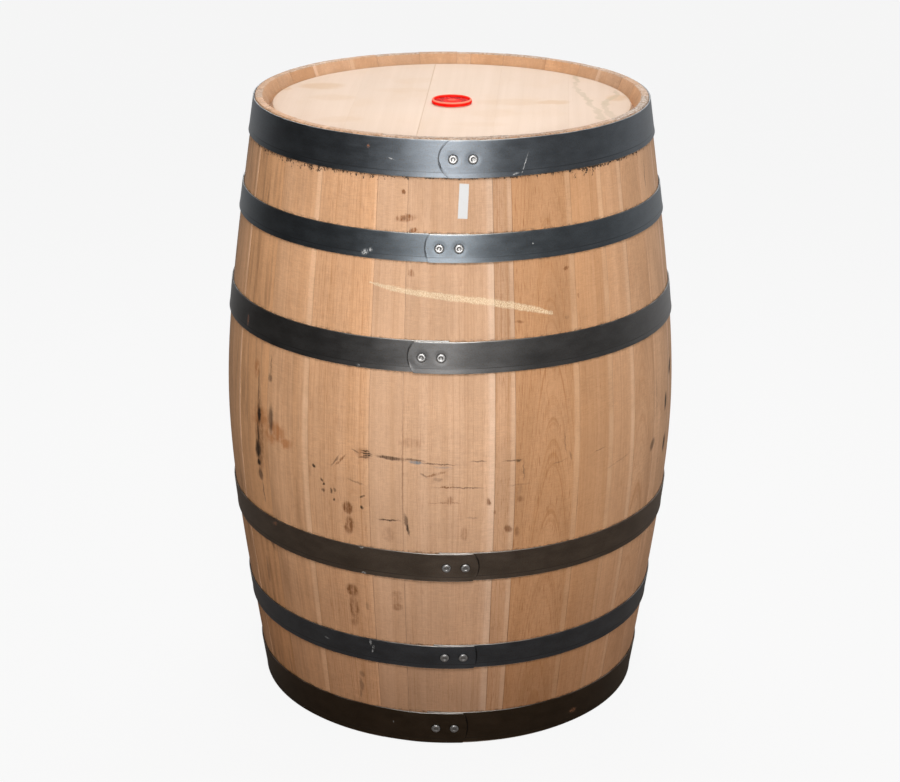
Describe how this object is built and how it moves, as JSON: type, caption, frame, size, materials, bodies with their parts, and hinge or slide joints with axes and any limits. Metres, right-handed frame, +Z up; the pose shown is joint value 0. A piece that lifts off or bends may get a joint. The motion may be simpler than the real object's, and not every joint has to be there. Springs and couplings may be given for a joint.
{
  "type": "oak wine barrel",
  "caption": "Standing oak wine barrel of bent staves, boarded heads let into grooves, riveted steel hoops and a removable bung in the top head.",
  "frame": {"origin": "centre of the flat bottom end, on the floor", "axes": "+Z up along the barrel's axis from the bottom head to the top head, -Y towards the riveted hoop laps, +X to their right"},
  "size_m": [0.6999, 0.6997, 0.95],
  "materials": {
    "stave_oak": "planed and sanded oak with stains, scuffs and pale joint edges, no varnish",
    "head_oak": "smooth pale planed oak",
    "hoop_steel": "dark mill-scale steel strip with bright rolled edges",
    "rivet_steel": "bright zinc-plated rivet heads",
    "red_plastic": "glossy moulded plastic",
    "label_paper": "blank matt paper sticker"
  },
  "bodies": {
    "barrel": {"stave_01": "stave_oak", "stave_02": "stave_oak", "stave_03": "stave_oak", "stave_04": "stave_oak", "stave_05": "stave_oak", "stave_06": "stave_oak", "stave_07": "stave_oak", "stave_08": "stave_oak", "stave_09": "stave_oak", "stave_10": "stave_oak", "stave_11": "stave_oak", "stave_12": "stave_oak", "stave_13": "stave_oak", "stave_14": "stave_oak", "stave_15": "stave_oak", "stave_16": "stave_oak", "stave_17": "stave_oak", "stave_18": "stave_oak", "stave_19": "stave_oak", "stave_20": "stave_oak", "stave_21": "stave_oak", "stave_22": "stave_oak", "stave_23": "stave_oak", "stave_24": "stave_oak", "stave_25": "stave_oak", "stave_26": "stave_oak", "stave_27": "stave_oak", "stave_28": "stave_oak", "stave_29": "stave_oak", "top_head_board_1": "head_oak", "top_head_board_2": "head_oak", "top_head_board_3": "head_oak", "top_head_board_4": "head_oak", "top_head_board_5": "head_oak", "bottom_head_board_1": "head_oak", "bottom_head_board_2": "head_oak", "bottom_head_board_3": "head_oak", "bottom_head_board_4": "head_oak", "bottom_head_board_5": "head_oak", "top_head_hoop": "hoop_steel", "top_quarter_hoop": "hoop_steel", "top_belly_hoop": "hoop_steel", "bottom_belly_hoop": "hoop_steel", "bottom_quarter_hoop": "hoop_steel", "bottom_head_hoop": "hoop_steel", "top_head_hoop_rivet_a": "rivet_steel", "top_head_hoop_rivet_b": "rivet_steel", "top_quarter_hoop_rivet_a": "rivet_steel", "top_quarter_hoop_rivet_b": "rivet_steel", "top_belly_hoop_rivet_a": "rivet_steel", "top_belly_hoop_rivet_b": "rivet_steel", "bottom_belly_hoop_rivet_a": "rivet_steel", "bottom_belly_hoop_rivet_b": "rivet_steel", "bottom_quarter_hoop_rivet_a": "rivet_steel", "bottom_quarter_hoop_rivet_b": "rivet_steel", "bottom_head_hoop_rivet_a": "rivet_steel", "bottom_head_hoop_rivet_b": "rivet_steel", "paper_label": "label_paper"},
    "bung": {"bung": "red_plastic"}
  },
  "joints": [
    {"name": "bung_lift", "type": "slide", "parent": "barrel", "child": "bung", "axis": [0, 0, 1], "range_m": [0, 0.12]}
  ]
}
